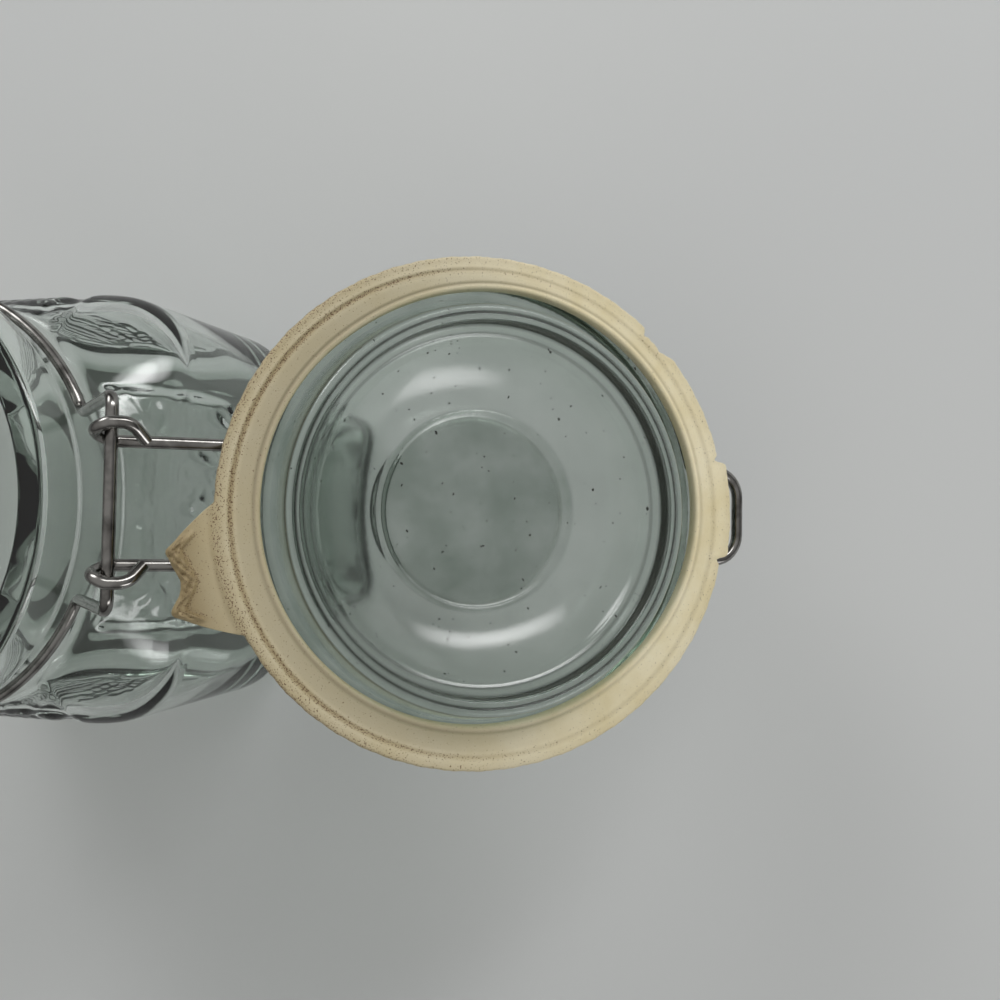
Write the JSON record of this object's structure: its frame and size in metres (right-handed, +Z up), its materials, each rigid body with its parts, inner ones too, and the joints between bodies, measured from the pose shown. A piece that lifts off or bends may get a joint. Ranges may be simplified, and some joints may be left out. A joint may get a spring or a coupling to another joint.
{
  "type": "flip-top glass canister",
  "caption": "Rounded square glass jar with a round neck, a hinged glass lid with a rubber seal, and a toggle latch of bent wire.",
  "frame": {"origin": "centre of the jar's base, on the surface it stands on", "axes": "+Z up the jar's axis, +Y towards the hinge behind, -Y towards the latch in front"},
  "size_m": [0.1, 0.2375, 0.1122],
  "materials": {
    "pressed_glass": "clear pressed soda glass with a faint green cast",
    "seal_rubber": "aged natural rubber, cream to tan, matt",
    "steel_wire": "drawn steel wire, dull bright, darkened with use"
  },
  "bodies": {
    "jar": {"jar_body": "pressed_glass", "neck_wire": "steel_wire"},
    "lid": {"lid": "pressed_glass", "seal": "seal_rubber", "lid_wire": "steel_wire"},
    "lever": {"latch_lever": "steel_wire"},
    "link": {"latch_link": "steel_wire"}
  },
  "joints": [
    {"name": "lid_hinge", "type": "hinge", "parent": "jar", "child": "lid", "pos_m": [0, 0.067, 0.1084], "axis": [1, 0, 0], "range_deg": [0, 213]},
    {"name": "lever_pivot", "type": "hinge", "parent": "jar", "child": "lever", "pos_m": [0, -0.0606, 0.0823], "axis": [-1, 0, 0], "range_deg": [0, 165]},
    {"name": "link_pivot", "type": "hinge", "parent": "lever", "child": "link", "pos_m": [0, -0.06189, 0.07252], "axis": [-1, 0, 0], "range_deg": [-5, 194.2]}
  ]
}
